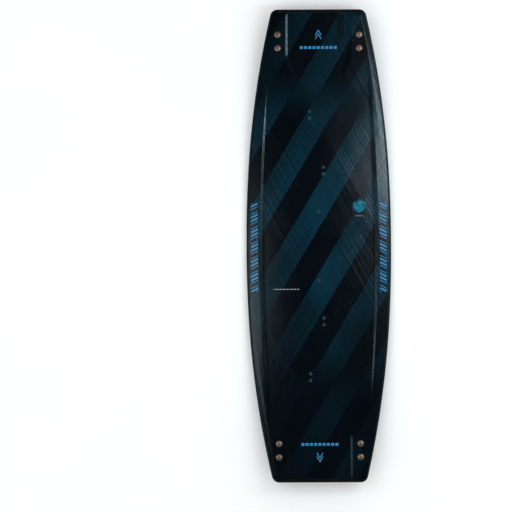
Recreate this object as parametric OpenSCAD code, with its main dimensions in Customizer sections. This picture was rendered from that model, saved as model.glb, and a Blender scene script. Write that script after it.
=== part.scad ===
// Twin-tip kiteboard: a wood core between carbon laminates and printed sheets, edged with plastic
// rails, on four bolted fins. Millimetres. +Z is up through the deck, +Y runs along the board to
// the nose tip and +X points across it. The origin is on the ground below the middle of the board,
// which stands on its four fins.

/* [Outline] */
// Length from tip to tip
board_l = 1400; // [1300:10:1500]
// Width at the middle
board_w = 430; // [400:5:450]
// How much narrower each side is at the tip, before the corner is rounded
side_taper = 77; // [60:1:90]
// How late along the board the sides turn in
taper_power = 2.2; // [2:0.1:2.6]
// Radius of each corner in plan
corner_r = 22; // [18:1:28]

/* [Side view] */
// Radius of the rocker, the curve of the base from tip to tip
rocker_r = 5400; // [4800:100:7000]
// Depth of the fins below the base, at the middle of each fin
fin_depth = 46; // [35:1:55]

/* [Base] */
// Depth of the concave across the base, at the middle
concave = 5; // [3:0.5:6]
// Height of the ridge along the middle of the base
ridge = 4; // [1:0.5:4]

/* [Deck] */
// Height of the outer edge
edge_h = 4; // [3:0.5:4.5]
// Height at the top of the edge bevel
bevel_h = 5.5; // [5:0.5:6]
// Width of the edge bevel
bevel_w = 6; // [4:0.5:8]
// Height of the rail shelf, at the middle and at the tips
shelf_h_mid = 11.5; // [10:0.5:13]
shelf_h_tip = 8.5; // [7.5:0.5:9]
// Height of the deck on the centreline, at the middle
dome_h = 14; // [12:0.5:15]
// Fall of the rail shelf from the step out to the chamfer, at the middle
shelf_fall = 3; // [0:0.5:3]
// Drop from the rail shelf to the inner deck, at the middle
step_drop = 4; // [2:0.5:4]
// Distance of that step from the centreline, at the middle
step_x = 172; // [165:1:175]
// Width of the sloping wall of the step
step_w = 9; // [6:1:10]
// Depth of the channel in each tip
channel_drop = 2.5; // [1:0.5:2.5]
// Half-width of the tip channel, at the tip and at its inner end
channel_x = 94; // [90:1:96]
channel_x_in = 69; // [60:1:75]

/* [Layers] */
// Thickness of the printed sheet on each face
sheet_t = 0.5; // [0.4:0.1:0.6]
// Thickness of the carbon laminate under it
laminate_t = 0.8; // [0.6:0.1:1]
// Width of the plastic rail around the core
rail_w = 10; // [9:0.5:12]

/* [Fins] */
// Distance of each fin from the centreline
fin_x = 121; // [118:1:122]
// Thickness of a fin at its root and at its edge
fin_root_t = 10; // [10:0.5:12]
fin_edge_t = 5; // [4.5:0.5:6]
// Thickness of the coloured layer in the middle
fin_core_t = 4; // [3:0.5:4]
// Distance between a fin's two bolts
bolt_pitch = 40; // [40:1:45]
// Distance of those bolts' middle from the middle of the board
bolt_y = 607; // [604:1:610]

/* [Inserts] */
// Distance between the two inserts of a pair
pair_pitch = 20; // [20:1:25]
// Place of the middle of each outer pair
outer_pair_x = -26; // [-40:1:40]
outer_pair_y = 389; // [380:1:400]
// Place of the middle of each inner pair
inner_pair_x = 14.6; // [-40:0.1:40]
inner_pair_y = 224; // [215:1:235]
// Distance between the two handle inserts
handle_pitch = 204; // [200:1:210]

/* [Hidden] */
$fn = 48;

half_l = board_l / 2;
half_w = board_w / 2;
layers_t = sheet_t + laminate_t;

// Side slope at the tip, and the centre of the corner arc that meets the side and the tip edge
tip_slope = side_taper * taper_power / half_l;
corner_angle = atan(tip_slope);
corner_x = half_w - side_taper + tip_slope * corner_r - corner_r / cos(corner_angle);
corner_y = half_l - corner_r;

// Stations along half of the board
fin_in = 552;
core_end = half_l - rail_w;
corner_start = corner_y + corner_r * sin(corner_angle);
station_gap = 40;
stations_to_fin = floor((fin_in - 12) / station_gap);
fin_gaps = 4;
half_rows = concat(
    [for (i = [0:stations_to_fin]) i * station_gap],
    [for (i = [0:fin_gaps - 1]) fin_in + i * (corner_start - fin_in) / fin_gaps],
    [corner_start, core_end]
);
tip_rows = [core_end, core_end + 0.35 * rail_w, core_end + 0.65 * rail_w, half_l - 1.2, half_l];

function reversed(list) = [for (i = [len(list) - 1:-1:0]) list[i]];
function tail_of(list) = [for (i = [1:len(list) - 1]) list[i]];
function both_ends(list) = concat([for (v = reversed(list)) -v], tail_of(list));
function across(list) = concat([for (v = list) -v], tail_of(reversed(list)));
function smooth(v, from, to) = let (t = min(1, max(0, (v - from) / (to - from)))) t * t * (3 - 2 * t);
function mix(from, to, t) = from + (to - from) * t;

// Half-width of the outline s from the middle, and of the same outline inset by d
function side_x(s) = half_w - side_taper * pow(s / half_l, taper_power);
function side_stretch(s) = norm([1, side_taper * taper_power / half_l * pow(s / half_l, taper_power - 1)]);
function inset_x(s, d) =
    let (arc_r = corner_r - d, along = s - corner_y)
    along < arc_r * sin(corner_angle) ? side_x(s) - d * side_stretch(s)
    : along < arc_r ? corner_x + sqrt(arc_r * arc_r - along * along)
    : corner_x;

// Distance in from the edge of the outline
function edge_distance(x, s) =
    let (side = (side_x(s) - x) / side_stretch(s), tip = half_l - s)
    x > corner_x && s > corner_y
        ? min(side, corner_r - norm([x - corner_x, s - corner_y]))
        : min(side, tip);

// Height of the base: rocker along the board, then the concave and the ridge across it
function rocker(s) = rocker_r - sqrt(rocker_r * rocker_r - s * s);
belly_z = fin_depth - rocker((fin_in + core_end) / 2);
concave_full = 150;
concave_gone = 520;
ridge_full = 120;
ridge_gone = 450;
ridge_half_w = 90;
function concave_at(s) = concave * (1 - smooth(s, concave_full, concave_gone));
function ridge_at(s) = ridge * (1 - smooth(s, ridge_full, ridge_gone));
function base_rise(x, s) =
    concave_at(s) * (1 - pow(min(1, x / side_x(s)), 2))
    - ridge_at(s) * pow(1 - min(1, x / ridge_half_w), 2);
function base_z(x, y) = belly_z + rocker(abs(y)) + base_rise(abs(x), abs(y));

// Height of the deck above the base's edge line: shelf, step, domed middle, tip channel and edge
// The step turns in towards the tips and fades out before them, and so does the dome
step_end = 549;
step_turn_in = 26;
step_power = 1.8;
step_fade_start = 200;
step_gone = step_end + 10;
dome_fade_start = 150;
dome_gone = fin_in + 60;
shelf_w = 26;
function shelf_h(s) = mix(shelf_h_mid, shelf_h_tip, smooth(s, 0, core_end));
function step_at(s) = step_x - step_turn_in * pow(s / step_end, step_power);
function step_fade(s) = 1 - smooth(s, step_fade_start, step_gone);
function step_drop_at(s) = step_drop * step_fade(s);
function shelf_fall_at(x, s) = shelf_fall * step_fade(s) * max(0, x - step_at(s)) / shelf_w;
function dome_at(s) = mix(dome_h, shelf_h_tip, smooth(s, dome_fade_start, dome_gone));
channel_start = 490;
channel_deep = 570;
channel_turn = 501;
channel_full = 563;
channel_wall = 8;
function channel_at(s) =
    mix(channel_x_in, channel_x, min(1, max(0, (s - channel_turn) / (channel_full - channel_turn))));
function inner_h(x, s) =
    let (valley = shelf_h(s) - step_drop_at(s))
    valley + (dome_at(s) - valley) * (1 - pow(min(1, x / step_at(s)), 2));
function plateau_h(x, s) =
    let (
        up = smooth(x, step_at(s) - step_w / 2, step_at(s) + step_w / 2),
        wall = channel_at(s),
        in_channel = 1 - smooth(x, wall - channel_wall / 2, wall + channel_wall / 2)
    )
    mix(inner_h(x, s), shelf_h(s) - shelf_fall_at(x, s), up)
    - channel_drop * smooth(s, channel_start, channel_deep) * in_channel;
chamfer_rise = 0.35;
function edge_profile(e) =
    e < bevel_w ? mix(edge_h, bevel_h, e / bevel_w) : bevel_h + chamfer_rise * (e - bevel_w);
function deck_h(x, s) = min(plateau_h(x, s), edge_profile(edge_distance(x, s)));
function deck_z(x, y) = belly_z + rocker(abs(y)) + deck_h(abs(x), abs(y));

// Lines that run along the board at each crease, as places across it from the edge inwards.
// The last three divide the middle of the deck and the ridge of the base.
least_gap = 0.8;
wall_gap = 4;
ridge_lines = [40, 18, 0];
function chamfer_in(s) = bevel_w + (shelf_h(s) - shelf_fall * step_fade(s) - bevel_h) / chamfer_rise;
function crease_lines(s) =
    let (
        outer = inset_x(s, 0),
        bevel = min(inset_x(s, bevel_w), outer - least_gap),
        core = min(inset_x(s, rail_w), bevel - least_gap),
        chamfer = min(inset_x(s, chamfer_in(s)), core - least_gap),
        wall_out = min(step_at(s) + step_w / 2, chamfer - wall_gap),
        wall_in = min(step_at(s) - step_w / 2, wall_out - wall_gap),
        channel = channel_at(s)
    )
    concat(
        [outer, bevel, core, chamfer, wall_out, wall_in],
        [channel + channel_wall / 2, channel - channel_wall / 2],
        ridge_lines
    );
OUTER = 0;
BEVEL = 1;
CORE = 2;
CHANNEL = 6;
function crease_lines_from(s, first) =
    let (lines = crease_lines(s)) [for (i = [first:len(lines) - 1]) lines[i]];

// A closed layer between two height functions, over stations ys and the places across for each
module layer(ys, xs, low, high) {
    n = len(ys);
    m = len(xs[0]);
    top = n * m;
    points = concat(
        [for (i = [0:n - 1]) for (j = [0:m - 1]) [xs[i][j], ys[i], low(xs[i][j], ys[i])]],
        [for (i = [0:n - 1]) for (j = [0:m - 1]) [xs[i][j], ys[i], high(xs[i][j], ys[i])]]
    );
    cells = [for (i = [0:n - 2]) for (j = [0:m - 2]) i * m + j];
    faces = concat(
        [for (c = cells) [c, c + 1, c + m + 1]],
        [for (c = cells) [c, c + m + 1, c + m]],
        [for (c = cells) [top + c, top + c + m + 1, top + c + 1]],
        [for (c = cells) [top + c, top + c + m, top + c + m + 1]],
        [for (i = [0:n - 2]) [i * m, (i + 1) * m, top + (i + 1) * m, top + i * m]],
        [for (i = [1:n - 1]) [i * m - 1, top + i * m - 1, top + (i + 1) * m - 1, (i + 1) * m - 1]],
        [for (j = [0:m - 2]) [top + j, top + j + 1, j + 1, j]],
        [for (j = [0:m - 2]) let (end = (n - 1) * m + j) [end, end + 1, top + end + 1, top + end]]
    );
    polyhedron(points, faces);
}

core_rows = both_ends(half_rows);
full_rows = both_ends(concat(half_rows, tail_of(tip_rows)));

// A layer over the whole board, from the crease line numbered first
module board_layer(rows, first, low, high) {
    layer(rows, [for (y = rows) across(crease_lines_from(abs(y), first))], low, high);
}

// A layer along one side, between two crease lines; side is 1 or -1
module side_layer(side, outer, inner, low, high) {
    xs = [
        for (y = core_rows)
            let (lines = crease_lines(abs(y)))
            side > 0 ? [lines[inner], lines[outer]] : [-lines[outer], -lines[inner]]
    ];
    layer(core_rows, xs, low, high);
}

// Places of the fin bolts, square to the base at the middle of each fin's bolts
bolt_tilt = asin(bolt_y / rocker_r);
module at_fin_bolts(fins = [[-1, 1], [1, 1], [-1, -1], [1, -1]]) {
    for (fin = fins)
        scale_end(fin[1])
            translate([fin[0] * fin_x, bolt_y, base_z(fin_x, bolt_y)])
                rotate([bolt_tilt, 0, 0])
                    for (along = [-1, 1]) translate([0, along * bolt_pitch / 2, 0]) children();
}
module scale_end(end) {
    if (end > 0) children();
    else mirror([0, 1, 0]) children();
}

// Fin bolt sizes: M6 screw, its washer and the brass insert in the fin
screw_r = 2.95;
bolt_hole_r = 3.3;
head_r = 6.2;
head_h = 2.6;
washer_r = 9;
washer_t = 1.2;
seat_r = 9.5;
seat_depth = 0.6;
seat_z = shelf_h_tip - seat_depth;
fin_insert_r = 4;
fin_insert_bore_r = 3;
fin_insert_l = 12;
screw_grip = 10.5;
plug_r = 7;
insert_clear = 0.5;
recess_l = 6.8;
recess_w = 1.2;
recess_depth = 1.6;
below = -20;
above = 30;
module bolt_hole(r, from, to) {
    translate([0, 0, from]) cylinder(r = r, h = to - from);
}
module bolt_holes(r) {
    at_fin_bolts() bolt_hole(r, below, above);
}
module washer_seats() {
    at_fin_bolts() bolt_hole(seat_r, seat_z, above);
}

// M6 inserts that take the pads and the handle: upright, with a flange at the foot
insert_r = 4.5;
insert_bore_r = 2.5;
insert_h = 7;
flange_r = 7.5;
flange_h = 1.2;
insert_sink = 0.4;
insert_recess_r = 5.6;
pad_places = concat(
    [for (along = [-1, 1]) [outer_pair_x, outer_pair_y + along * pair_pitch / 2]],
    [for (along = [-1, 1]) [inner_pair_x, inner_pair_y + along * pair_pitch / 2]]
);
nose_pad_places = pad_places;
tail_pad_places = [for (p = pad_places) [p[0], -p[1]]];
handle_places = [for (along = [-1, 1]) [0, along * handle_pitch / 2]];
insert_places = concat(nose_pad_places, tail_pad_places, handle_places);
function insert_top(place) = deck_z(place[0], place[1]) - insert_sink;
module insert_group(places) {
    for (p = places)
        translate([p[0], p[1], insert_top(p) - insert_h])
            difference() {
                union() {
                    cylinder(r = insert_r, h = insert_h);
                    cylinder(r = flange_r, h = flange_h);
                }
                translate([0, 0, -1]) cylinder(r = insert_bore_r, h = insert_h + 2);
            }
}
module insert_pockets() {
    for (p = insert_places)
        translate([p[0], p[1], insert_top(p) - insert_h]) {
            cylinder(r = insert_r, h = above);
            cylinder(r = flange_r, h = flange_h);
        }
}
module insert_recesses() {
    for (p = insert_places)
        translate([p[0], p[1], insert_top(p) - layers_t]) cylinder(r = insert_recess_r, h = above);
}

// The layers' faces, from the base up
base_face = function (x, y) base_z(x, y);
base_laminate_face = function (x, y) base_z(x, y) + sheet_t;
core_low_face = function (x, y) base_z(x, y) + layers_t;
core_high_face = function (x, y) deck_z(x, y) - layers_t;
deck_laminate_face = function (x, y) deck_z(x, y) - sheet_t;
deck_face = function (x, y) deck_z(x, y);

module core_block() {
    board_layer(core_rows, CORE, core_low_face, core_high_face);
}
module wood_core() {
    color("burlywood")
        difference() {
            core_block();
            bolt_holes(plug_r);
            insert_pockets();
        }
}
module fin_hole_plugs() {
    color("dimgray")
        difference() {
            intersection() {
                core_block();
                bolt_holes(plug_r);
            }
            bolt_holes(bolt_hole_r);
        }
}
module deck_laminate() {
    color("#15181b")
        difference() {
            board_layer(core_rows, BEVEL, core_high_face, deck_laminate_face);
            bolt_holes(bolt_hole_r);
            washer_seats();
            insert_recesses();
        }
}
module deck_sheet() {
    color("#0b2a38")
        difference() {
            board_layer(core_rows, BEVEL, deck_laminate_face, deck_face);
            washer_seats();
            insert_recesses();
        }
}
module base_laminate() {
    color("#15181b")
        difference() {
            board_layer(full_rows, OUTER, base_laminate_face, core_low_face);
            bolt_holes(bolt_hole_r);
        }
}
module base_sheet() {
    color("#075266")
        difference() {
            board_layer(full_rows, OUTER, base_face, base_laminate_face);
            bolt_holes(bolt_hole_r);
        }
}

// The rails: along each side under and beside the deck layers, and one across each tip
module side_rail(side) {
    color("#101316") {
        side_layer(side, BEVEL, CORE, core_low_face, core_high_face);
        side_layer(side, OUTER, BEVEL, core_low_face, deck_face);
    }
}
module left_rail() {
    side_rail(-1);
}
module right_rail() {
    side_rail(1);
}
module tip_rail(end) {
    rows = end > 0 ? tip_rows : [for (y = reversed(tip_rows)) -y];
    xs = [for (y = rows) across(concat([inset_x(abs(y), 0)], crease_lines_from(abs(y), CHANNEL)))];
    color("#101316")
        layer(rows, xs, core_low_face, deck_face);
}
module nose_rail() {
    tip_rail(1);
}
module tail_rail() {
    tip_rail(-1);
}

// Fins: a side profile that follows the base at its root, cut through the coloured core layer and
// two black cheeks that thin out towards the edge
fin_rows = [for (s = half_rows) if (s >= fin_in) s];
fin_heel = core_end - 18;
fin_toe = 632;
function curve(p, t) =
    pow(1 - t, 3) * p[0] + 3 * t * pow(1 - t, 2) * p[1] + 3 * t * t * (1 - t) * p[2] + pow(t, 3) * p[3];
function curve_points(p, first, last, steps) = [for (i = [first:last]) curve(p, i / steps)];
fin_root_in = [fin_in, base_z(fin_x, fin_in)];
fin_root_out = [core_end, base_z(fin_x, core_end)];
fin_side = concat(
    [for (s = fin_rows) [s, base_z(fin_x, s)]],
    curve_points([fin_root_out, [core_end - 1, 22], [core_end - 2, 4], [fin_heel, 0]], 1, 8, 8),
    curve_points([[fin_toe, 0], [fin_toe - 34, 0], [fin_in + 22, 20], fin_root_in], 0, 11, 12)
);
module fin_side_plate(t) {
    rotate([90, 0, 90]) linear_extrude(t, center = true) polygon(fin_side);
}
module fin_section() {
    top = fin_root_out[1] + 5;
    slope = (fin_root_t - fin_edge_t) / 2 / fin_root_in[1];
    polygon([
        [fin_edge_t / 2, 0], [fin_edge_t / 2 + slope * top, top],
        [fin_core_t / 2, top], [fin_core_t / 2, 0],
    ]);
}
module fin_insert_holes(r) {
    at_fin_bolts([[1, 1]]) bolt_hole(r, -fin_insert_l, above);
}
module at_fin(across_side, end) {
    scale_end(end) translate([across_side > 0 ? 0 : -2 * fin_x, 0, 0]) children();
}
module fin_core(across_side, end) {
    color("#c01826")
        at_fin(across_side, end)
            difference() {
                translate([fin_x, 0, 0]) fin_side_plate(fin_core_t);
                fin_insert_holes(fin_insert_r);
            }
}
module facing(side) {
    if (side > 0) children();
    else mirror([1, 0, 0]) children();
}
module fin_cheek() {
    intersection() {
        fin_side_plate(fin_root_t + 4);
        translate([0, half_l, 0]) rotate([90, 0, 0]) linear_extrude(half_l) fin_section();
    }
}
module fin_cheeks(across_side, end) {
    color("#121416")
        at_fin(across_side, end)
            difference() {
                translate([fin_x, 0, 0])
                    for (face = [-1, 1]) facing(face) fin_cheek();
                fin_insert_holes(fin_insert_r);
            }
}
module fin_inserts() {
    color("#b5975a")
        at_fin_bolts()
            difference() {
                bolt_hole(fin_insert_r, -fin_insert_l, -insert_clear);
                bolt_hole(fin_insert_bore_r, -fin_insert_l - 1, 1);
            }
}
module fin_screws() {
    head_z = seat_z + washer_t;
    color("#b4aca2")
        at_fin_bolts() {
            bolt_hole(screw_r, -screw_grip, head_z);
            difference() {
                bolt_hole(head_r, head_z, head_z + head_h);
                for (turn = [0, 90])
                    rotate([0, 0, turn])
                        translate([-recess_l / 2, -recess_w / 2, head_z + head_h - recess_depth])
                            cube([recess_l, recess_w, head_h]);
            }
        }
}
module fin_washers() {
    color("#9b948c")
        at_fin_bolts()
            difference() {
                bolt_hole(washer_r, seat_z, seat_z + washer_t);
                bolt_hole(bolt_hole_r, seat_z - 1, seat_z + washer_t + 1);
            }
}
module nose_pad_inserts() {
    color("silver") insert_group(nose_pad_places);
}
module tail_pad_inserts() {
    color("silver") insert_group(tail_pad_places);
}
module handle_inserts() {
    color("silver") insert_group(handle_places);
}

// The badge: a black label stuck to the deck, with a six-sided iridescent window on it
badge_x = 120;
badge_y = 118;
badge_r = 21;
label_r = 24.5;
label_drop = 12;
film_t = 0.3;
badge_reach = 100;
badge_rows = [for (y = core_rows) if (abs(y - badge_y) < badge_reach) y];
module film(from, to) {
    xs = [for (y = badge_rows) across(crease_lines_from(y, BEVEL))];
    layer(badge_rows, xs, function (x, y) deck_z(x, y) + from, function (x, y) deck_z(x, y) + to);
}
module hexagon_prism(r, drop) {
    linear_extrude(badge_reach)
        polygon([for (a = [30:60:330]) [r * cos(a), r * sin(a) - (a > 180 ? drop : 0)]]);
}
module badge_label() {
    color("#08090b")
        intersection() {
            film(0, film_t);
            translate([badge_x, badge_y, 0]) hexagon_prism(label_r, label_drop);
        }
}
module badge_window() {
    color("#2fa7b8")
        intersection() {
            film(film_t, 2 * film_t);
            translate([badge_x, badge_y, 0]) hexagon_prism(badge_r, 0);
        }
}

wood_core();
deck_laminate();
base_laminate();
deck_sheet();
base_sheet();
left_rail();
right_rail();
nose_rail();
tail_rail();
fin_core(-1, 1);  // nose_left_fin_core
fin_core(1, 1);  // nose_right_fin_core
fin_core(-1, -1);  // tail_left_fin_core
fin_core(1, -1);  // tail_right_fin_core
fin_cheeks(-1, 1);  // nose_left_fin_cheeks
fin_cheeks(1, 1);  // nose_right_fin_cheeks
fin_cheeks(-1, -1);  // tail_left_fin_cheeks
fin_cheeks(1, -1);  // tail_right_fin_cheeks
fin_inserts();
fin_screws();
fin_washers();
fin_hole_plugs();
nose_pad_inserts();
tail_pad_inserts();
handle_inserts();
badge_label();
badge_window();
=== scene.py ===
"""Looks of the kiteboard: fine skins, rails, fins, hardware and badge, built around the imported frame.

Shapes are worked out in millimetres, with the frame's own axes: +Z up through the deck, +Y to the
nose tip, +X across. They become metres only when a mesh is made. Most of them depend on s, the
distance from the middle of the board towards either tip, and on x, the distance across it.
"""

from math import asin, atan, cos, hypot, pi, radians, sin, sqrt, tan

import bmesh
import bpy
from mathutils import Matrix, Vector


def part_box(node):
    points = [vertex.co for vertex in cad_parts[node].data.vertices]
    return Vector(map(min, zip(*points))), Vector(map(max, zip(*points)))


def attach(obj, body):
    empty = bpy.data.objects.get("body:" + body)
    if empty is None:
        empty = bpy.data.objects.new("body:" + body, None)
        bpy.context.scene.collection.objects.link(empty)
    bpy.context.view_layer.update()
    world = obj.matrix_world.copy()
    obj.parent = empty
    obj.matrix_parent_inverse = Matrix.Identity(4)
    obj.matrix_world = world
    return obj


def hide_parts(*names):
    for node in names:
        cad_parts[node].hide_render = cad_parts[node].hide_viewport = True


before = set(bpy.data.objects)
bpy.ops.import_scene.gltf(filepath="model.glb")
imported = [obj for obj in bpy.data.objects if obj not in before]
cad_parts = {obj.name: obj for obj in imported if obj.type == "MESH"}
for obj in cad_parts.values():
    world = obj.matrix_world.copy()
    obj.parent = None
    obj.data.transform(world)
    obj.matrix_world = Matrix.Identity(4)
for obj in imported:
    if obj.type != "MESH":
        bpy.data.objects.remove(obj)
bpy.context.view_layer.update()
MM = 0.001


def box_mm(node):
    """The lowest and highest corner of a CAD node, in millimetres."""
    low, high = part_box(node)
    return low / MM, high / MM


# ---------------------------------------------------------------- the board's surfaces

BASE_LOW, BASE_HIGH = box_mm("base_sheet")
HALF_L = BASE_HIGH.y
HALF_W = BASE_HIGH.x
CORE_END = box_mm("wood_core")[1].y
SIDE_TAPER = 77
TAPER_POWER = 2.2
CORNER_R = 22
TIP_SLOPE = SIDE_TAPER * TAPER_POWER / HALF_L
CORNER_ANGLE = atan(TIP_SLOPE)
CORNER_X = HALF_W - SIDE_TAPER + TIP_SLOPE * CORNER_R - CORNER_R / cos(CORNER_ANGLE)
CORNER_Y = HALF_L - CORNER_R

ROCKER_R = 5400
BELLY_Z = BASE_LOW.z
SHEET_T = 0.5
LAYERS_T = 1.3
BEVEL_W = 6
BEVEL_H = 5.5
CHAMFER_RISE = 0.35
SHELF_FALL = 3
SHELF_W = 26
STEP_WALL = 4.5
CHANNEL_WALL = 4
RAIL_W = HALF_L - CORE_END
EDGE_ROUND = 0.8


def mix(low, high, t):
    return low + (high - low) * t


def smooth(value, low, high):
    t = min(1, max(0, (value - low) / (high - low)))
    return t * t * (3 - 2 * t)


def blended_min(a, b, reach):
    """The smaller of two heights, with the crease between them rounded over about reach."""
    t = max(0, reach - abs(a - b)) / reach
    return min(a, b) - t * t * reach / 4


def side_x(s):
    return HALF_W - SIDE_TAPER * (s / HALF_L) ** TAPER_POWER


def side_stretch(s):
    return hypot(1, TIP_SLOPE * (s / HALF_L) ** (TAPER_POWER - 1))


def inset_x(s, d):
    """Half the board's width at s, measured to a line that runs d inside the outline."""
    arc_r = CORNER_R - d
    along = s - CORNER_Y
    if along < arc_r * sin(CORNER_ANGLE):
        return side_x(s) - d * side_stretch(s)
    return CORNER_X + (sqrt(arc_r * arc_r - along * along) if along < arc_r else 0)


def edge_distance(x, s):
    side = (side_x(s) - x) / side_stretch(s)
    if x > CORNER_X and s > CORNER_Y:
        return max(0, min(side, CORNER_R - hypot(x - CORNER_X, s - CORNER_Y)))
    return max(0, min(side, HALF_L - s))


def rocker(s):
    return ROCKER_R - sqrt(ROCKER_R * ROCKER_R - s * s)


def base_z(x, y):
    """Height of the base: rocker, a concave across it, and a low ridge along the middle."""
    x, s = abs(x), abs(y)
    concave = 5 * (1 - smooth(s, 150, 520))
    ridge = 4 * (1 - smooth(s, 120, 450))
    rise = concave * (1 - min(1, x / side_x(s)) ** 2) - ridge * (1 - min(1, x / 90)) ** 2
    return BELLY_Z + rocker(s) + rise


def shelf_h(s):
    return mix(11.5, 8.5, smooth(s, 0, CORE_END))


def step_at(s):
    return 172 - 26 * (s / 549) ** 1.8


def step_fade(s):
    return 1 - smooth(s, 200, 559)


def channel_at(s):
    return mix(69, 94, min(1, max(0, (s - 501) / 62)))


def plateau_h(x, s):
    """Height of the deck inside its edges: domed middle, step up to the rail shelf, tip channel."""
    valley = shelf_h(s) - 4 * step_fade(s)
    dome = mix(14, 8.5, smooth(s, 150, 612))
    inner = valley + (dome - valley) * (1 - min(1, x / step_at(s)) ** 2)
    shelf = shelf_h(s) - SHELF_FALL * step_fade(s) * max(0, x - step_at(s)) / SHELF_W
    up = smooth(x, step_at(s) - STEP_WALL, step_at(s) + STEP_WALL)
    in_channel = 1 - smooth(x, channel_at(s) - CHANNEL_WALL, channel_at(s) + CHANNEL_WALL)
    return mix(inner, shelf, up) - 2.5 * smooth(s, 490, 570) * in_channel


def edge_h(e):
    """Height of the outer bevel and the chamfer above it, at a distance e in from the edge."""
    return mix(4, BEVEL_H, e / BEVEL_W) if e < BEVEL_W else BEVEL_H + CHAMFER_RISE * (e - BEVEL_W)


def deck_z(x, y):
    x, s = abs(x), abs(y)
    height = blended_min(plateau_h(x, s), edge_h(edge_distance(x, s)), 1.6)
    return BELLY_Z + rocker(s) + height


def rounded_deck_z(x, y):
    """The deck's height with the arris at the very edge of the rail rounded off."""
    e = edge_distance(abs(x), abs(y))
    if e >= EDGE_ROUND:
        return deck_z(x, y)
    return deck_z(x, y) - EDGE_ROUND + sqrt(EDGE_ROUND**2 - (EDGE_ROUND - e) ** 2)


def laminate_top(x, y):
    return deck_z(x, y) - SHEET_T


def core_top(x, y):
    return deck_z(x, y) - LAYERS_T


def base_sheet_top(x, y):
    return base_z(x, y) + SHEET_T


def core_bottom(x, y):
    return base_z(x, y) + LAYERS_T


# ---------------------------------------------------------------- meshes


def spread(places, counts):
    """Places in order, with counts[i] equal gaps between each one and the next."""
    out = [places[0]]
    for low, high, count in zip(places, places[1:], counts):
        out += [mix(low, high, i / count) for i in range(1, count + 1)]
    return out


def mirrored(places):
    """Places from 0 outwards, doubled to run from one side to the other."""
    return [-p for p in reversed(places)] + places[1:]


def crease_columns(s, outermost, fineness=1):
    """Places across the board at s, set close together where the deck has a crease or a wall."""
    outer = inset_x(s, outermost)
    core = min(inset_x(s, RAIL_W), outer - 0.8)
    chamfer_in = BEVEL_W + (shelf_h(s) - SHELF_FALL * step_fade(s) - BEVEL_H) / CHAMFER_RISE
    chamfer = min(inset_x(s, chamfer_in), core - 0.8)
    wall_out = min(step_at(s) + STEP_WALL, chamfer - 4)
    wall_in = min(step_at(s) - STEP_WALL, wall_out - 4)
    channel = channel_at(s)
    middle = [0, 18, 40, channel - CHANNEL_WALL, channel + CHANNEL_WALL]
    side = [wall_in, wall_out, chamfer - 2, chamfer + 1.5, core, outer]
    counts = [2, 2, 4, 8, 10, 10, 6, 5, 3, 2]
    return mirrored(spread(middle + side, [max(1, c // fineness) for c in counts]))


def rows_along(end, gap):
    """Rows from tip to tip, closer together towards the tips, where the channels are."""
    places = [0, 480, 600, 676, 690] + ([end] if end > 690 else [])
    steps = [gap, gap * 0.7, gap * 0.5, gap * 0.3, gap * 0.25]
    counts = [max(2, round((b - a) / step)) for a, b, step in zip(places, places[1:], steps)]
    return mirrored(spread(places, counts))


def mesh_piece(name, bm, sharp=32):
    """Turns a bmesh in millimetres into an object in metres, smooth except at sharp corners."""
    bmesh.ops.scale(bm, vec=(MM, MM, MM), verts=bm.verts)
    bmesh.ops.recalc_face_normals(bm, faces=bm.faces)
    for face in bm.faces:
        face.smooth = True
    mesh = bpy.data.meshes.new(name)
    bm.to_mesh(mesh)
    bm.free()
    mesh.set_sharp_from_angle(angle=radians(sharp))
    piece = bpy.data.objects.new(name, mesh)
    bpy.context.scene.collection.objects.link(piece)
    return piece


def grid_faces(bm, rows):
    """Faces between neighbouring rows of vertices."""
    for below, above in zip(rows, rows[1:]):
        for i in range(len(below) - 1):
            bm.faces.new((below[i], below[i + 1], above[i + 1], above[i]))


def add_layer(bm, ys, xs_at, low, high):
    """A closed layer between two height functions, over rows ys and places across xs_at(y)."""
    bottom, top = (
        [[bm.verts.new((x, y, height(x, y))) for x in xs_at(y)] for y in ys] for height in (low, high)
    )
    grid_faces(bm, bottom)
    grid_faces(bm, top)
    for lower, upper in ((bottom[0], top[0]), (bottom[-1], top[-1])):
        grid_faces(bm, [lower, upper])
    for side in (0, -1):
        grid_faces(bm, [[row[side] for row in bottom], [row[side] for row in top]])


def layer_piece(name, ys, xs_at, low, high):
    bm = bmesh.new()
    add_layer(bm, ys, xs_at, low, high)
    return mesh_piece(name, bm)


def add_loops(bm, loops, capped=True):
    """A closed piece through loops of points that match one another."""
    rings = [[bm.verts.new(p) for p in loop] for loop in loops]
    for ring, after in zip(rings, rings[1:]):
        for i in range(len(ring)):
            j = (i + 1) % len(ring)
            bm.faces.new((ring[i], ring[j], after[j], after[i]))
    if capped:
        bm.faces.new(reversed(rings[0]))
        bm.faces.new(rings[-1])


def add_lathe(bm, profile, place, steps=48, closed=False):
    """A turned part: a profile of (radius, height) points, round the Z axis of place."""
    outline = profile + [profile[0]] if closed else profile
    start = len(bm.verts)
    rings = []
    for r, z in outline:
        turns = [2 * pi * i / steps for i in range(steps)]
        rings.append([place @ Vector((r * cos(a), r * sin(a), z)) for a in turns])
    add_loops(bm, rings, capped=not closed)
    if closed:
        bm.verts.ensure_lookup_table()
        bmesh.ops.remove_doubles(bm, verts=bm.verts[start:], dist=0.0005)


def cut(piece, cutters, sharp=32):
    """Subtracts a mesh made of closed cutters from a piece, and applies the cut to its mesh."""
    step = piece.modifiers.new("holes", "BOOLEAN")
    step.operation = "DIFFERENCE"
    step.solver = "MANIFOLD"
    step.object = cutters
    bpy.context.view_layer.update()
    seen = piece.evaluated_get(bpy.context.evaluated_depsgraph_get())
    mesh = bpy.data.meshes.new_from_object(seen)
    piece.modifiers.clear()
    piece.data = mesh
    mesh.set_sharp_from_angle(angle=radians(sharp))
    return piece


# ---------------------------------------------------------------- places of the hardware

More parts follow.
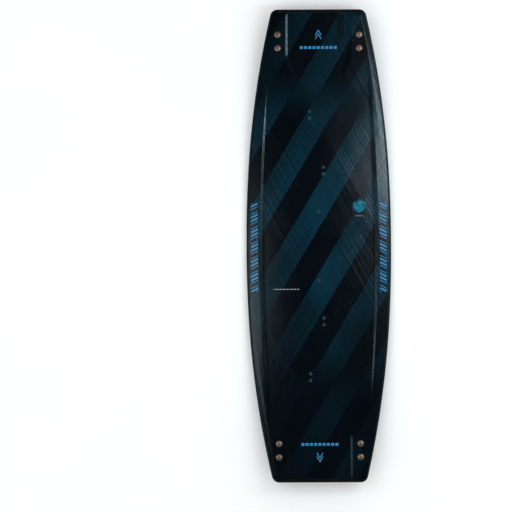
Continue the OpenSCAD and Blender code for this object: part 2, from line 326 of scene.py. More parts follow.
FIN_X = sum(c.x for c in box_mm("nose_right_fin_core")) / 2
BOLT_Y = 607
BOLT_PITCH = 40
SEAT_Z = 7.9
WASHER_R = 9
WASHER_T = 1.2
SEAT_R = WASHER_R + 0.5
BOLT_HOLE_R = 3.3
INSERT_MOUTH_R = 5.2
INSERT_SOCKET_R = 4.52
AXIS_R = 0.01
INSERT_PLACES = {
    "nose_pad_inserts": [(-26, 379), (-26, 399), (14.6, 214), (14.6, 234)],
    "tail_pad_inserts": [(-26, -379), (-26, -399), (14.6, -214), (14.6, -234)],
    "handle_inserts": [(0, 102), (0, -102)],
}
FINS = {
    "nose_left_fin": (-1, 1),
    "nose_right_fin": (1, 1),
    "tail_left_fin": (-1, -1),
    "tail_right_fin": (1, -1),
}


def bolt_places():
    """The eight fin bolts, each square to the base under it, with Z up through the deck."""
    places = []
    for across, end in FINS.values():
        middle = Matrix.Translation((across * FIN_X, end * BOLT_Y, base_z(FIN_X, BOLT_Y)))
        tilt = Matrix.Rotation(end * asin(BOLT_Y / ROCKER_R), 4, "X")
        for along in (-1, 1):
            places.append(middle @ tilt @ Matrix.Translation((0, along * BOLT_PITCH / 2, 0)))
    return places


def insert_place(x, y):
    return Matrix.Translation((x, y, deck_z(x, y) - 0.4))


def cylinder_cutters(name, cylinders, steps=64):
    """Upright cylinders as one cutting mesh: a list of (place, radius, from height, to height)."""
    bm = bmesh.new()
    for place, r, low, high in cylinders:
        add_lathe(bm, [(r, low), (r, high)], place, steps)
    return mesh_piece(name, bm)


def discard(piece):
    bpy.data.objects.remove(piece)


# ---------------------------------------------------------------- skins and rails


def board_skins():
    """The printed sheet and the laminate of each face, with their holes."""
    bolts = bolt_places()
    seats = [(p, SEAT_R, SEAT_Z, 30) for p in bolts]
    inserts = [insert_place(*spot) for group in INSERT_PLACES.values() for spot in group]
    holes = [(p, BOLT_HOLE_R, -20, 30) for p in bolts]
    mouths = [(p, INSERT_MOUTH_R, -0.6, 30) for p in inserts]
    sockets = [(p, INSERT_SOCKET_R, -3, 30) for p in inserts]
    seat_cutters = cylinder_cutters("seat_cutters", seats + mouths)
    laminate_cutters = cylinder_cutters("laminate_cutters", seats + sockets)
    hole_cutters = cylinder_cutters("hole_cutters", holes)

    def deck_columns(fineness):
        return lambda y: crease_columns(abs(y), BEVEL_W, fineness)

    def base_columns(fineness):
        return lambda y: crease_columns(abs(y), 0, fineness)

    deck = layer_piece("deck_skin", rows_along(CORE_END, 6), deck_columns(1), laminate_top, deck_z)
    cut(deck, seat_cutters)
    coarse_rows = rows_along(CORE_END, 12)
    laminate = layer_piece("deck_carbon", coarse_rows, deck_columns(2), core_top, laminate_top)
    cut(laminate, laminate_cutters)
    cut(laminate, hole_cutters)
    base = layer_piece("base_skin", rows_along(HALF_L, 6), base_columns(1), base_z, base_sheet_top)
    cut(base, hole_cutters)
    coarse_rows = rows_along(HALF_L, 12)
    base_laminate = layer_piece("base_carbon", coarse_rows, base_columns(2), base_sheet_top, core_bottom)
    cut(base_laminate, hole_cutters)
    discard(seat_cutters)
    discard(laminate_cutters)
    discard(hole_cutters)
    return deck, laminate, base, base_laminate


def rail_section(s, y):
    """Loop of a side rail's section, with its outer arris rounded and a rebate for the deck."""
    outer = [inset_x(s, d) for d in (0, 0.06, 0.25, EDGE_ROUND, 2.5, BEVEL_W)]
    foot = [inset_x(s, RAIL_W), inset_x(s, BEVEL_W), outer[0]]
    loop = [(x, rounded_deck_z(x, y)) for x in outer]
    loop += [(x, core_top(x, y)) for x in (foot[1], foot[0])]
    loop += [(x, core_bottom(x, y)) for x in foot]
    return loop


def side_rail(name, side):
    bm = bmesh.new()
    loops = []
    for y in rows_along(CORE_END, 6):
        loops.append([Vector((side * x, y, z)) for x, z in rail_section(abs(y), y)])
    add_loops(bm, loops)
    return mesh_piece(name, bm, 28)


def tip_rail(name, end):
    """The rail across one tip, with the corners of the outline."""
    last = HALF_L - EDGE_ROUND
    ys = [end * s for s in spread([CORE_END, CORE_END + 4, last, HALF_L], [3, 4, 5])]

    def across(y):
        s = abs(y)
        outer = inset_x(s, 0)
        wall_in, wall_out = channel_at(s) - CHANNEL_WALL, channel_at(s) + CHANNEL_WALL
        return mirrored(spread([0, wall_in, wall_out, outer - 3, outer], [10, 8, 10, 8]))

    return layer_piece(name, ys, across, core_bottom, rounded_deck_z)


# ---------------------------------------------------------------- fins

FIN_IN, FIN_OUT = 552, 690
FIN_TOE, FIN_HEEL = 632, 672
FIN_CORE_HALF = 2


def bezier(points, t):
    weights = ((1 - t) ** 3, 3 * t * (1 - t) ** 2, 3 * t * t * (1 - t), t**3)
    return tuple(sum(w * p[i] for w, p in zip(weights, points)) for i in (0, 1))


def fin_free_edge():
    """The fin's edge in side view, from its inner root over the toe and heel to its outer root."""
    root_in, root_out = ((s, base_z(FIN_X, s)) for s in (FIN_IN, FIN_OUT))
    leading = [root_in, (FIN_IN + 22, 20), (FIN_TOE - 34, 0), (FIN_TOE, 0)]
    trailing = [(FIN_HEEL, 0), (FIN_OUT - 2, 4), (FIN_OUT - 1, 22), root_out]
    return (
        [bezier(leading, i / 24) for i in range(24)]
        + [(mix(FIN_TOE, FIN_HEEL, i / 8), 0) for i in range(8)]
        + [bezier(trailing, i / 18) for i in range(19)]
    )


def fin_grid(rows):
    """Points of the fin's side in side view, as rows from the root down to the free edge."""
    edge = fin_free_edge()
    lengths = [0]
    for a, b in zip(edge, edge[1:]):
        lengths.append(lengths[-1] + hypot(b[0] - a[0], b[1] - a[1]))
    roots = [mix(FIN_IN, FIN_OUT, run / lengths[-1]) for run in lengths]
    grid = []
    for j in range(rows + 1):
        v = 1 - (1 - j / rows) ** 1.7
        grid.append([(mix(s, e[0], v), mix(base_z(FIN_X, s), e[1], v)) for s, e in zip(roots, edge)])
    return edge, grid


def distance_to(path, point):
    best = 1e9
    p = Vector(point)
    for a, b in zip(path, path[1:]):
        a, b = Vector(a), Vector(b)
        t = min(1, max(0, (p - a).dot(b - a) / (b - a).length_squared))
        best = min(best, (p - a - (b - a) * t).length)
    return best


def add_fin_plate(bm, place, inner, outer):
    """One layer of a fin, between two offsets from its middle plane that depend on the place."""
    edge, grid = fin_grid(14)
    start = len(bm.verts)
    sides = []
    for offset in (inner, outer):
        rows = [[place @ Vector((offset(edge, p), *p)) for p in row] for row in grid]
        sides.append([[bm.verts.new(point) for point in row] for row in rows])
    for side in sides:
        grid_faces(bm, side)
    near, far = sides
    grid_faces(bm, [near[0], far[0]])
    grid_faces(bm, [near[-1], far[-1]])
    bm.verts.ensure_lookup_table()
    bmesh.ops.remove_doubles(bm, verts=bm.verts[start:], dist=0.001)
    bmesh.ops.dissolve_degenerate(bm, dist=0.0005, edges=bm.edges)


def fin_half_thickness(edge, point):
    """Half the fin's thickness: tapered towards the ground, and foiled towards the free edge."""
    taper = 2.5 + 2.5 * point[1] / base_z(FIN_X, FIN_IN)
    near = min(1, distance_to(edge, point) / 9)
    return FIN_CORE_HALF + (taper - FIN_CORE_HALF) * sqrt(1 - (1 - near) ** 2)


def fin_place(across, end):
    return Matrix.Translation((across * FIN_X, 0, 0)) @ Matrix.Diagonal((1, end, 1, 1))


def fin_pieces(name, across, end):
    """A fin's coloured core and its two black cheeks, drilled for their brass inserts."""
    place = fin_place(across, end)
    holes = cylinder_cutters("fin_cutters", [(p, 4, -12, 20) for p in bolt_places()], 48)
    bm = bmesh.new()
    add_fin_plate(bm, place, lambda edge, p: -FIN_CORE_HALF, lambda edge, p: FIN_CORE_HALF)
    core = cut(mesh_piece(name + "_centre", bm), holes)
    bm = bmesh.new()
    for side in (-1, 1):
        turned = place @ Matrix.Diagonal((side, 1, 1, 1))
        add_fin_plate(bm, turned, lambda edge, p: FIN_CORE_HALF, fin_half_thickness)
    cheeks = cut(mesh_piece(name + "_sides", bm, 40), holes, 40)
    discard(holes)
    return core, cheeks


# ---------------------------------------------------------------- screws, washers and inserts


def arc(middle, r, first, last, steps):
    """Points of an arc in a profile, between two angles in degrees."""
    angles = [radians(mix(first, last, i / steps)) for i in range(steps + 1)]
    return [(middle[0] + r * cos(a), middle[1] + r * sin(a)) for a in angles]


def thread(outer, depth, low, high, pitch=1.0):
    """Zigzag of a thread's section, going up."""
    count = round((high - low) / pitch)
    points = []
    for i in range(count):
        points += [(outer - depth, low + i * pitch), (outer, low + (i + 0.5) * pitch)]
    return points


SCREW_HEAD_H = 2.6


def screw_profile():
    foot = SEAT_Z + WASHER_T
    shank = thread(2.95, 0.45, -10, foot - 3)
    head = arc((5.4, foot + 0.8), 0.8, -90, 0, 4) + [(6.15, foot + 1.3)]
    crown = [(6.15 * cos(a), foot + 1.3 + 1.3 * sin(a)) for a in (radians(12 * i) for i in range(1, 7))]
    tip = [(AXIS_R, -10.5), (2.2, -10.5)]
    neck = [(2.95, foot - 2.5), (2.95, foot)]
    return tip + shank + neck + head + crown + [(AXIS_R, foot + SCREW_HEAD_H)]


def add_wedge(bm, place, top):
    """One bar of a cross recess: it reaches across the head and narrows downwards."""
    loops = []
    for z, half_long, half_wide in ((top + 1, 4.6, 1.5), (top - 2.4, 3.0, 1.0)):
        corners = ((-1, -1), (1, -1), (1, 1), (-1, 1))
        loops.append([place @ Vector((a * half_long, b * half_wide, z)) for a, b in corners])
    add_loops(bm, loops)


def fin_screws():
    """The eight screws, each with a threaded shank and a cross recess in its head."""
    bm = bmesh.new()
    for place in bolt_places():
        add_lathe(bm, screw_profile(), place)
    screws = mesh_piece("screws", bm, 40)
    top = SEAT_Z + WASHER_T + SCREW_HEAD_H
    for turn in (20, 110):
        bm = bmesh.new()
        for place in bolt_places():
            add_wedge(bm, place @ Matrix.Rotation(radians(turn), 4, "Z"), top)
        cutters = mesh_piece("recess_cutters", bm)
        cut(screws, cutters, 40)
        discard(cutters)
    return screws


def fin_washers():
    """Dished washers with a rounded rim."""
    low, high = SEAT_Z, SEAT_Z + WASHER_T
    profile = (
        [(3.3, low), (WASHER_R - 0.3, low)]
        + arc((WASHER_R - 0.45, low + 0.45), 0.45, -60, 75, 6)
        + [(WASHER_R - 1.6, high - 0.12), (7.2, high), (6.6, high), (3.6, high), (3.3, high - 0.25)]
    )
    bm = bmesh.new()
    for place in bolt_places():
        add_lathe(bm, profile, place, 56, closed=True)
    return mesh_piece("washers", bm, 40)


def insert_profile():
    """An insert's section: blind threaded bore, chamfered mouth, grooved body and a flange."""
    bore = [(AXIS_R, -6.2), (2.4, -6.2)] + thread(2.9, 0.4, -6, -1)
    grooves = []
    for i in range(5):
        grooves += [(4.5, -1.0 - i), (4.2, -1.25 - i), (4.5, -1.5 - i)]
    return (
        bore
        + [(2.9, -0.5), (3.2, -0.05), (3.35, 0), (4.2, 0), (4.5, -0.3)]
        + grooves
        + [(4.5, -5.8), (7.2, -5.8), (7.5, -6.1), (7.5, -6.8), (7.3, -7), (AXIS_R, -7)]
    )


def insert_group(name, places):
    bm = bmesh.new()
    for x, y in places:
        add_lathe(bm, insert_profile(), insert_place(x, y), 40)
    return mesh_piece(name, bm, 40)


# ---------------------------------------------------------------- badge

BADGE_LOW, BADGE_HIGH = box_mm("badge_window")
BADGE_X = (BADGE_LOW.x + BADGE_HIGH.x) / 2
BADGE_Y = (BADGE_LOW.y + BADGE_HIGH.y) / 2
BADGE_R = (BADGE_HIGH.y - BADGE_LOW.y) / 2
LABEL_R = 24.5
LABEL_DROP = 12
FILM_T = 0.3


def hexagon_piece(name, r, drop, low, high):
    """A film cut to a hexagon, which lies on the deck; drop moves its lower half down."""
    half_w = r * cos(radians(30))

    def half_width(v):
        reach = v if v > 0 else min(0, v + drop)
        return max(0.15, min(half_w, (r - abs(reach)) * sqrt(3)))

    heights = spread([-r - drop + 0.1, -r / 2 - drop, -r / 2, r / 2, r - 0.1], [8, 4, 10, 8])

    def crown(x, y):
        inside = half_width(y - BADGE_Y) - abs(x - BADGE_X)
        return deck_z(x, y) + low + (high - low) * (0.35 + 0.65 * smooth(inside, 0, 0.5))

    def across(y):
        half = half_width(y - BADGE_Y)
        inner = half * 0.97
        return [BADGE_X + x for x in mirrored(spread([0, inner, half], [9, 3]))]

    ys = [BADGE_Y + v for v in heights]
    return layer_piece(name, ys, across, lambda x, y: deck_z(x, y) + low, crown)


# ---------------------------------------------------------------- materials


def shade(r, g, b):
    """A screen colour, 0 to 255, as the linear colour that the shader takes."""

    def linear(c):
        return c / 3294.6 if c <= 10 else ((c / 255 + 0.055) / 1.055) ** 2.4

    return (linear(r), linear(g), linear(b), 1)


class Look:
    """A node material on the frame's own coordinates, with short calls for its patterns."""

    def __init__(self, name, **settings):
        self.material = bpy.data.materials.new(name)
        self.material.use_nodes = True
        self.nodes = self.material.node_tree.nodes
        self.links = self.material.node_tree.links
        self.shader = self.nodes["Principled BSDF"]
        for socket, value in settings.items():
            self.shader.inputs[socket.replace("_", " ")].default_value = value
        self.place = self.nodes.new("ShaderNodeTexCoord").outputs["Object"]
        millimetres = self.nodes.new("ShaderNodeVectorMath")
        millimetres.operation = "SCALE"
        millimetres.inputs["Scale"].default_value = 1 / MM
        self.links.new(self.place, millimetres.inputs[0])
        self.point = millimetres.outputs[0]
        split = self.nodes.new("ShaderNodeSeparateXYZ")
        self.links.new(self.point, split.inputs[0])
        self.x, self.y, self.z = split.outputs

    def put(self, value, socket):
        if isinstance(value, bpy.types.NodeSocket):
            self.links.new(value, socket)
        else:
            socket.default_value = value

    def math(self, operation, *values):
        node = self.nodes.new("ShaderNodeMath")
        node.operation = operation
        for value, socket in zip(values, node.inputs):
            self.put(value, socket)
        return node.outputs[0]

    def total(self, *values):
        out = values[0]
        for value in values[1:]:
            out = self.math("ADD", out, value)
        return out

    def product(self, *values):
        out = values[0]
        for value in values[1:]:
            out = self.math("MULTIPLY", out, value)
        return out

    def largest(self, *values):
        out = values[0]
        for value in values[1:]:
            out = self.math("MAXIMUM", out, value)
        return out

    def step(self, value, low, high, to_low=0.0, to_high=1.0):
        """A smooth step from to_low to to_high as value goes from low to high."""
        node = self.nodes.new("ShaderNodeMapRange")
        node.interpolation_type = "SMOOTHSTEP"
        for number, socket in zip((value, low, high, to_low, to_high), node.inputs):
            self.put(number, socket)
        return node.outputs[0]

    def within(self, value, low, high, soft=1.0):
        """1 where value lies between low and high, with edges that are soft wide."""
        up = self.step(value, low - soft / 2, low + soft / 2)
        return self.product(up, self.step(value, high - soft / 2, high + soft / 2, 1.0, 0.0))

    def slant(self, x_share, y_share):
        """Distance along a slanted line: x_share * x + y_share * y."""
        across, along = self.math("MULTIPLY", self.x, x_share), self.math("MULTIPLY", self.y, y_share)
        return self.math("ADD", across, along)

    def noise(self, scale, detail=2.0, roughness=0.5, vector=None):
        node = self.nodes.new("ShaderNodeTexNoise")
        self.links.new(vector or self.place, node.inputs["Vector"])
        node.inputs["Scale"].default_value = scale
        node.inputs["Detail"].default_value = detail
        node.inputs["Roughness"].default_value = roughness
        return node.outputs["Fac"]

    def strands(self, angle, width):
        """Straight thin streaks at an angle to X, like the fibres of a unidirectional cloth."""
        a = radians(angle)
        streaks = self.nodes.new("ShaderNodeTexNoise")
        streaks.noise_dimensions = "1D"
        streaks.inputs["Scale"].default_value = 1.0
        streaks.inputs["Detail"].default_value = 2.0
        self.put(self.slant(-sin(a) / width, cos(a) / width), streaks.inputs["W"])
        ends = self.noise(14, 1.0)
        centred = self.math("ADD", streaks.outputs["Fac"], -0.5)
        return self.math("MULTIPLY_ADD", centred, self.step(ends, 0.3, 0.7, 0.75, 1.3), 0.5)

    def blend(self, amount, low, high):
        node = self.nodes.new("ShaderNodeMix")
        node.data_type = "RGBA"
        self.put(amount, node.inputs["Factor"])
        self.put(low, node.inputs[6])
        self.put(high, node.inputs[7])
        return node.outputs[2]

    def ramp(self, value, *stops):
        """Colour of value, through stops of (place, colour)."""
        node = self.nodes.new("ShaderNodeValToRGB")
        self.put(value, node.inputs[0])
        marks = node.color_ramp.elements
        while len(marks) < len(stops):
            marks.new(0.5)
        for mark, (position, colour) in zip(marks, stops):
            mark.position = position
            mark.color = colour
        return node.outputs[0]

    def bump(self, height, distance_mm, strength=1.0):
        node = self.nodes.new("ShaderNodeBump")
        node.inputs["Strength"].default_value = strength
        node.inputs["Distance"].default_value = distance_mm * MM
        self.links.new(height, node.inputs["Height"])
        self.links.new(node.outputs[0], self.shader.inputs["Normal"])

    def finish(self, colour=None, roughness=None):
        if colour is not None:
            self.put(colour, self.shader.inputs["Base Color"])
        if roughness is not None:
            self.put(roughness, self.shader.inputs["Roughness"])
        return self.material


STRIPE_SLOPE = 1 / tan(radians(59))
TOW_W = 3.2
THREAD_W = 1.4


def hatch(look, across, along, width, length, pitch, group, gap, slope=0.5):
    """Groups of short slanted lines in a box: across and along are measured from its middle."""
    in_width = look.within(across, -width / 2, width / 2, 0.8)
    in_length = look.within(along, -length / 2, length / 2, 0.8)
    run = look.math("ADD", along, look.math("MULTIPLY", across, slope))
    lines = look.within(look.math("WRAP", run, pitch, 0.0), pitch * 0.25, pitch * 0.75, 0.9)
    in_group = look.math("WRAP", look.math("ADD", run, group / 2), group, 0.0)
    groups = look.within(in_group, gap / 2, group - gap / 2, 0.6)
    return look.product(in_width, in_length, lines, groups)


def chevron(look, x, y, half_w, rise, thick):
    """A pointed bar: its middle stands rise above its ends; x and y are from its middle."""
    bent = look.math("ADD", y, look.math("MULTIPLY", look.math("ABSOLUTE", x), rise / half_w))
    return look.product(look.within(bent, 0, thick, 0.8), look.within(x, -half_w, half_w, 0.8))


def tip_mark(look, s):
    """A generic sign for a tip: two small chevrons over a row of blocks, on the centreline."""
    signs = [chevron(look, look.x, look.math("ADD", s, -y), 9, 14, 5) for y in (636, 625)]
    block = look.within(look.math("WRAP", look.math("ADD", look.x, 6.3), 12.6, 0.0), 1.8, 10.8, 0.8)
    bar = look.product(look.within(look.x, -56.7, 56.7), look.within(s, 584, 592), block)
    return look.largest(*signs, bar)


def cloth_lines(look, width):
    """Fibre streaks in both directions of the outer cloth, about 0.5 on average."""
    weaker, stronger = look.strands(61, width), look.strands(119, width)
    return look.math("ADD", look.product(weaker, 0.4), look.product(stronger, 0.6))


def cloth_bump(look, coarse_mm, fine_mm):
    """Relief of the cloth: broad tows and the fine threads in them."""
    tows = look.product(cloth_lines(look, TOW_W), coarse_mm)
    threads = look.product(cloth_lines(look, THREAD_W), fine_mm)
    look.bump(look.math("ADD", tows, threads), 1.0)


def deck_print_look():
    """Dark deck print: slanted teal bands that fade, over visible fibres, under a satin coat."""
    look = Look("deck_print", Coat_Weight=0.15, Coat_Roughness=0.1, IOR=1.45)
    u = look.slant(1, -STRIPE_SLOPE)
    from_band = look.math("PINGPONG", look.math("ADD", u, -88), 80)
    first = look.step(from_band, 39.3, 40.7, 1.0, 0.0)
    second = look.math("SUBTRACT", 1.0, first)
    nose_run = look.step(look.y, 360, 500, 0.0, 0.6)
    tail_run = look.step(look.y, -460, -350, 0.16, 0.0)
    end_runs = look.product(look.math("ADD", nose_run, tail_run), look.step(look.x, -140, 40, 0.35, 1.0))
    middle_run = look.product(look.within(look.y, -350, 410, 240), look.step(look.y, -300, 60, 0.5, 1.0))
    bands = look.math("ADD", look.product(first, middle_run), look.product(second, end_runs))
    clouds = look.step(look.noise(6.5, 2.0), 0.3, 0.7, 0.55, 1.25)
    away = look.step(look.math("ABSOLUTE", look.x), 30, 190, 1.0, 0.55)
    fibres = look.step(cloth_lines(look, TOW_W), 0.36, 0.64, 0.4, 1.7)
    teal = look.product(look.math("ADD", bands, 0.04), clouds, away, fibres)
    colour = look.blend(teal, shade(1, 4, 9), shade(1, 40, 54))
    near_middle = look.step(look.math("ABSOLUTE", look.x), 8, 52, 1.0, 0.0)
    glow = look.product(near_middle, look.within(look.y, -130, 190, 150), first)
    colour = look.blend(look.product(glow, fibres, 0.8), colour, shade(0, 44, 62))
    shelf = look.math("ADD", look.math("ABSOLUTE", look.x), -191.5)
    bars = hatch(look, shelf, look.math("ADD", look.y, 4), 20, 264, 11, 44, 12)
    tip = tip_mark(look, look.math("ABSOLUTE", look.y))
    colour = look.blend(look.largest(bars, tip), colour, shade(46, 120, 168))
    line = look.product(look.within(look.x, -136, -59), look.within(look.y, -129.5, -127.5, 0.6))
    dashes = look.within(look.math("WRAP", look.x, 11, 0.0), 1.2, 9.5, 0.6)
    colour = look.blend(look.product(line, dashes), colour, shade(150, 158, 160))
    patch = look.product(look.within(look.x, 56, 77), look.within(look.y, 616, 684))
    colour = look.blend(look.product(patch, 0.6), colour, shade(3, 6, 9))
    sheen = look.step(cloth_lines(look, TOW_W), 0.38, 0.62, 0.15, 0.8)
    look.put(sheen, look.shader.inputs["Specular IOR Level"])
    cloth_bump(look, 0.35, 0.03)
    return look.finish(colour, look.step(cloth_lines(look, TOW_W), 0.36, 0.64, 0.24, 0.15))


def base_print_look():
    """Base print: wide slanted teal bands, vivid at the nose and dim at the tail."""
    look = Look("base_print", Coat_Weight=0.6, Coat_Roughness=0.12, IOR=1.48)
    u = look.slant(-1, -STRIPE_SLOPE)
    from_band = look.math("PINGPONG", look.math("ADD", u, -82.7), 82.6)
    first = look.step(from_band, 40.6, 42.0, 1.0, 0.0)
    second = look.math("SUBTRACT", 1.0, first)
    middle_run = look.within(look.y, -330, 150, 120)
    end_runs = look.math("ADD", look.step(look.y, 100, 220), look.step(look.y, -420, -320, 0.35, 0.0))
    bands = look.math("ADD", look.product(first, middle_run), look.product(second, end_runs))
    clouds = look.step(look.noise(5.0, 2.0), 0.3, 0.7, 0.5, 1.2)
    bright_end = look.step(look.y, -500, 500, 0.45, 1.1)
    fibres = look.step(cloth_lines(look, TOW_W), 0.36, 0.64, 0.6, 1.4)
    colour = look.blend(
        look.product(bands, clouds, bright_end, fibres), shade(7, 10, 14), shade(2, 88, 112)
    )
    bars_x, bars_y = look.math("ADD", look.x, -87), look.math("ADD", look.y, 177)
    bars = hatch(look, bars_x, bars_y, 48, 514, 17, 74, 18)
    block_rows = look.within(look.math("WRAP", look.y, 27.4, 0.0), 6, 22, 1.0)
    block = look.product(look.within(look.x, 63, 111), look.within(look.y, -549, -467), block_rows)
    colour = look.blend(look.largest(bars, block), colour, shade(132, 200, 226))
    small = look.product(
        look.within(look.x, -103, -97),
        look.within(look.y, -636, -582),
        look.within(look.math("WRAP", look.y, 6, 0.0), 1.2, 4.8),
    )
    tip = tip_mark(look, look.y)
    colour = look.blend(look.largest(small, tip), colour, shade(205, 218, 222))
    cloth_bump(look, 0.25, 0.02)
    return look.finish(colour, look.step(look.noise(30, 3.0), 0.3, 0.7, 0.26, 0.34))


def carbon_look():
    """Unidirectional carbon laminate, seen at its cut edges and in the insert recesses."""
    look = Look("carbon", Coat_Weight=0.4, Coat_Roughness=0.2)
    streaks = look.strands(90, 0.9)
    look.bump(streaks, 0.06, 0.6)
    colour = look.ramp(streaks, (0.3, shade(9, 11, 13)), (0.75, shade(34, 38, 42)))
    return look.finish(colour, look.step(streaks, 0.3, 0.8, 0.5, 0.3))


def rail_look():
    """Satin black plastic of the rails, with a fine moulded grain and light scuffs."""
    look = Look("rail_plastic", Specular_IOR_Level=0.3)
    grain = look.noise(2400, 2.0)
    scuffs = look.step(look.noise(90, 5.0, 0.7), 0.58, 0.72)
    look.bump(grain, 0.04, 0.5)
    colour = look.blend(look.product(scuffs, 0.25), shade(7, 9, 13), shade(40, 46, 52))
    return look.finish(colour, look.step(look.noise(140, 3.0), 0.3, 0.7, 0.34, 0.5))


def wood_look():
    """Strips of light wood that run along the core, with grain."""
    look = Look("core_wood")
    strip = look.math("FLOOR", look.math("MULTIPLY", look.x, 1 / 28))
    shift = look.math("MULTIPLY", look.math("SINE", look.math("MULTIPLY", strip, 12.9)), 0.35)
    grain = look.math("ADD", look.strands(90, 2.2), shift)
    look.bump(grain, 0.1, 0.4)
    dark, middle, light = shade(150, 112, 70), shade(196, 160, 112), shade(222, 194, 150)
    colour = look.ramp(grain, (0.1, dark), (0.5, middle), (0.9, light))
    return look.finish(colour, look.step(grain, 0.2, 0.8, 0.55, 0.72))


def metal_look(name, dark, light, roughness, grain_scale, metallic=1.0):
    """Turned metal with fine wear."""
    look = Look(name, Metallic=metallic)
    worn = look.noise(grain_scale, 4.0, 0.65)
    look.bump(worn, 0.02, 0.35)
    colour = look.ramp(worn, (0.3, dark), (0.7, light))
    return look.finish(colour, look.step(worn, 0.3, 0.7, roughness, roughness + 0.14))


def fin_look(name, dark, light, roughness):
    """Glass and resin laminate of a fin: fine layers along its faces, and a satin finish."""
    look = Look(name, Coat_Weight=0.3, Coat_Roughness=0.25)
    layers = look.noise(1.0, 3.0, 0.6, stretched(look, 0.35, 30, 30))
    specks = look.noise(700, 2.0)
    look.bump(specks, 0.02, 0.5)
    tone = look.product(look.math("ADD", layers, specks), 0.5)
    colour = look.ramp(tone, (0.35, dark), (0.65, light))
    return look.finish(colour, look.step(specks, 0.3, 0.7, roughness, roughness + 0.12))


def stretched(look, x_mm, y_mm, z_mm):
    """The place divided by a size on each axis, for a pattern that is longer one way."""
    node = look.nodes.new("ShaderNodeVectorMath")
    node.operation = "DIVIDE"
    look.links.new(look.point, node.inputs[0])
    node.inputs[1].default_value = (x_mm, y_mm, z_mm)
    return node.outputs[0]


def plug_look():
    """Dull grey plastic of the plugs round the fin bolts."""
    look = Look("plug_plastic")
    grain = look.noise(900, 3.0)
    look.bump(grain, 0.05, 0.6)
    colour = look.ramp(grain, (0.3, shade(52, 52, 55)), (0.7, shade(74, 74, 78)))
    return look.finish(colour, look.step(grain, 0.3, 0.7, 0.55, 0.7))


def label_look():
    """The badge's black label: gloss film with plain dashes instead of print."""
    look = Look("label_black", Coat_Weight=0.8, Coat_Roughness=0.06)
    line = look.within(look.y, BADGE_Y - 29.5, BADGE_Y - 28)
    below = look.product(look.within(look.x, BADGE_X - 12, BADGE_X + 12), line)
    dashes = look.within(look.math("WRAP", look.x, 5, 0.0), 1, 4.2, 0.5)
    speck = look.noise(500, 3.0)
    ground = look.ramp(speck, (0.3, shade(4, 5, 7)), (0.7, shade(10, 12, 15)))
    colour = look.blend(look.product(below, dashes), ground, shade(150, 160, 165))
    return look.finish(colour, look.step(speck, 0.3, 0.7, 0.2, 0.3))


def badge_look():
    """The iridescent window: clouds of blue, teal and green that turn round its middle."""
    look = Look("badge_film", Coat_Weight=1.0, Coat_Roughness=0.05, Metallic=0.35)
    dx, dy = look.math("ADD", look.x, -BADGE_X), look.math("ADD", look.y, -BADGE_Y)
    turn = look.math("ARCTAN2", dy, dx)
    out = look.math("SQRT", look.math("ADD", look.product(dx, dx), look.product(dy, dy)))
    wave = look.math("SINE", look.total(look.product(turn, 3.0), look.product(out, 0.32)))
    cloud = look.noise(90, 3.0, 0.6)
    tone = look.total(look.product(wave, 0.09), look.product(cloud, 0.8), 0.08)
    colour = look.ramp(
        tone,
        (0.2, shade(6, 48, 84)),
        (0.38, shade(14, 96, 140)),
        (0.52, shade(20, 132, 142)),
        (0.66, shade(44, 158, 124)),
        (0.82, shade(120, 196, 180)),
    )
    rim = look.step(out, BADGE_R * 0.72, BADGE_R * 0.8)
    colour = look.blend(look.product(rim, 0.75), colour, shade(8, 46, 84))
    look.bump(look.noise(1500, 1.0), 0.02, 0.5)
    return look.finish(colour, look.step(cloud, 0.3, 0.7, 0.16, 0.26))


def floor_look():
    """Near-white studio floor, faintly mottled."""
    look = Look("floor_pale")
    mottle = look.noise(3.0, 4.0)
    colour = look.ramp(mottle, (0.3, shade(243, 243, 243)), (0.7, shade(247, 247, 247)))
    return look.finish(colour, look.step(mottle, 0.3, 0.7, 0.75, 0.85))


# ---------------------------------------------------------------- the model

LOOKS = {
    "deck_print": deck_print_look(),
    "base_print": base_print_look(),
    "carbon": carbon_look(),
    "rail_plastic": rail_look(),
    "core_wood": wood_look(),
    "fin_red": fin_look("fin_red", shade(150, 10, 20), shade(206, 22, 34), 0.34),
    "fin_black": fin_look("fin_black", shade(9, 10, 12), shade(24, 26, 29), 0.3),
    "brass": metal_look("brass", shade(150, 118, 62), shade(206, 172, 104), 0.28, 420),
    "steel": metal_look("steel", shade(168, 128, 106), shade(240, 202, 176), 0.34, 600),
    "plug_plastic": plug_look(),
    "label_black": label_look(),
    "badge_film": badge_look(),
}

# The inserts' copy of the steel, darker and teal-tinted: its darkness is painted shade that stands in
# for the shade in the inserts' bores and recesses.
SHADED_BUSH_LOOK = metal_look("bush_steel_painted_shade", shade(26, 58, 70), shade(104, 134, 142), 0.3, 800, 0.6)


def dress(piece, slot, *nodes):
    """Gives a new piece its finish and its body, and hides the CAD nodes that it stands for."""
    piece.data.materials.clear()
    piece.data.materials.append(LOOKS[slot])
    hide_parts(*nodes)
    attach(piece, "root")


def dress_cad_node(node, slot):
    """Gives a CAD node that stays in view a better material."""
    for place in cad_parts[node].material_slots:
        place.material = LOOKS[slot]


def build_board():
    """Skins, laminates and rails."""
    deck, deck_carbon, base, base_carbon = board_skins()
    dress(deck, "deck_print", "deck_sheet")
    dress(deck_carbon, "carbon", "deck_laminate")
    dress(base, "base_print", "base_sheet")
    dress(base_carbon, "carbon", "base_laminate")
    dress(side_rail("rail_left", -1), "rail_plastic", "left_rail")
    dress(side_rail("rail_right", 1), "rail_plastic", "right_rail")
    dress(tip_rail("rail_nose", 1), "rail_plastic", "nose_rail")
    dress(tip_rail("rail_tail", -1), "rail_plastic", "tail_rail")


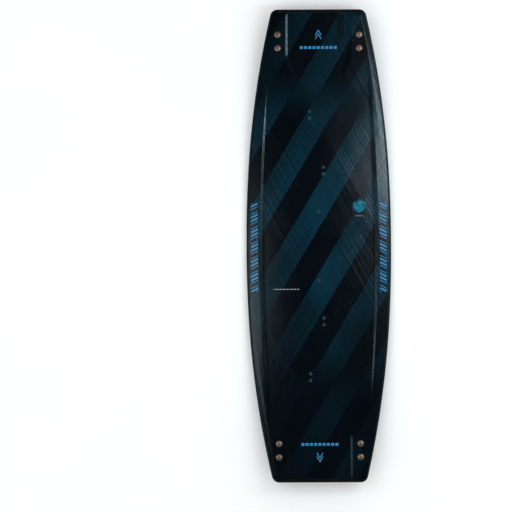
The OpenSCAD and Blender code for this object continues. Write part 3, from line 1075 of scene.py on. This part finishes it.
def build_hardware():
    """Fins, screws, washers, inserts and badge, and better materials for the CAD nodes kept."""
    for name, (across, end) in FINS.items():
        centre, sides = fin_pieces(name, across, end)
        dress(centre, "fin_red", name + "_core")
        dress(sides, "fin_black", name + "_cheeks")
    dress(fin_screws(), "steel", "fin_screws")
    dress(fin_washers(), "steel", "fin_washers")
    for node, places in INSERT_PLACES.items():
        bushes = insert_group(node.replace("inserts", "bushes"), places)
        dress(bushes, "steel", node)
        # The inserts take the darker copy of the steel, with its painted shade, in place of the plain
        # steel.
        bushes.data.materials[0] = SHADED_BUSH_LOOK
    dress(hexagon_piece("label", LABEL_R, LABEL_DROP, 0, FILM_T), "label_black", "badge_label")
    dress(hexagon_piece("badge", BADGE_R, 0, FILM_T, 2 * FILM_T), "badge_film", "badge_window")
    kept = {"wood_core": "core_wood", "fin_hole_plugs": "plug_plastic", "fin_inserts": "brass"}
    for node, slot in kept.items():
        dress_cad_node(node, slot)


# ---------------------------------------------------------------- studio

REFLECTED_HORIZON = 0.6


def build_floor():
    bm = bmesh.new()
    bmesh.ops.create_grid(bm, x_segments=8, y_segments=8, size=6 / MM)
    floor = mesh_piece("floor", bm)
    floor.data.materials.append(floor_look())


def softbox(name, place, size, power):
    """A flat rectangular soft light that faces the floor."""
    light = bpy.data.lights.new(name, "AREA")
    light.shape = "RECTANGLE"
    light.size, light.size_y = size
    light.energy = power
    light.color = (0.68, 0.91, 1.0)
    lamp = bpy.data.objects.new(name, light)
    lamp.location = place
    lamp.visible_camera = False
    bpy.context.scene.collection.objects.link(lamp)


def build_lights():
    softbox("upper_right_softbox", (1.12, 0.265, 1.5), (1.24, 0.29), 7.8)
    softbox("lower_left_softbox", (-1.08, -0.16, 1.5), (1.3, 0.4), 3.2)
    softbox("nose_softbox", (0.5, 0.36, 1.5), (0.4, 0.36), 0.25)
    build_world()


def build_world():
    """White surroundings; in reflections they are dark overhead and pale towards the horizon."""
    world = bpy.data.worlds.new("studio")
    world.use_nodes = True
    nodes, links = world.node_tree.nodes, world.node_tree.links
    split = nodes.new("ShaderNodeSeparateXYZ")
    links.new(nodes.new("ShaderNodeTexCoord").outputs["Generated"], split.inputs[0])
    fade = nodes.new("ShaderNodeMapRange")
    fade.interpolation_type = "SMOOTHSTEP"
    links.new(split.outputs["Z"], fade.inputs[0])
    for socket, value in zip(fade.inputs[1:5], (0.15, 0.6, REFLECTED_HORIZON, 0.0)):
        socket.default_value = value
    choice = nodes.new("ShaderNodeMix")
    links.new(nodes.new("ShaderNodeLightPath").outputs["Is Glossy Ray"], choice.inputs["Factor"])
    choice.inputs[2].default_value = 1.0
    links.new(fade.outputs[0], choice.inputs[3])
    links.new(choice.outputs[0], nodes["Background"].inputs["Strength"])
    nodes["Background"].inputs["Color"].default_value = (1, 1, 1, 1)
    bpy.context.scene.world = world


def build_camera():
    """Far above the board, looking straight down, with the nose at the top of the frame."""
    distance, frame_width = 9.0, 1.517
    camera = bpy.data.cameras.new("camera")
    camera.sensor_width = 36
    camera.lens = camera.sensor_width * distance / frame_width
    eye = bpy.data.objects.new("camera", camera)
    eye.location = (-0.187, -0.029, distance + 0.05)
    bpy.context.scene.collection.objects.link(eye)
    eye.rotation_euler = (0, 0, radians(-0.24))
    bpy.context.scene.camera = eye


build_board()
build_hardware()
build_floor()
build_lights()
build_camera()
bpy.context.scene.view_settings.view_transform = "Standard"
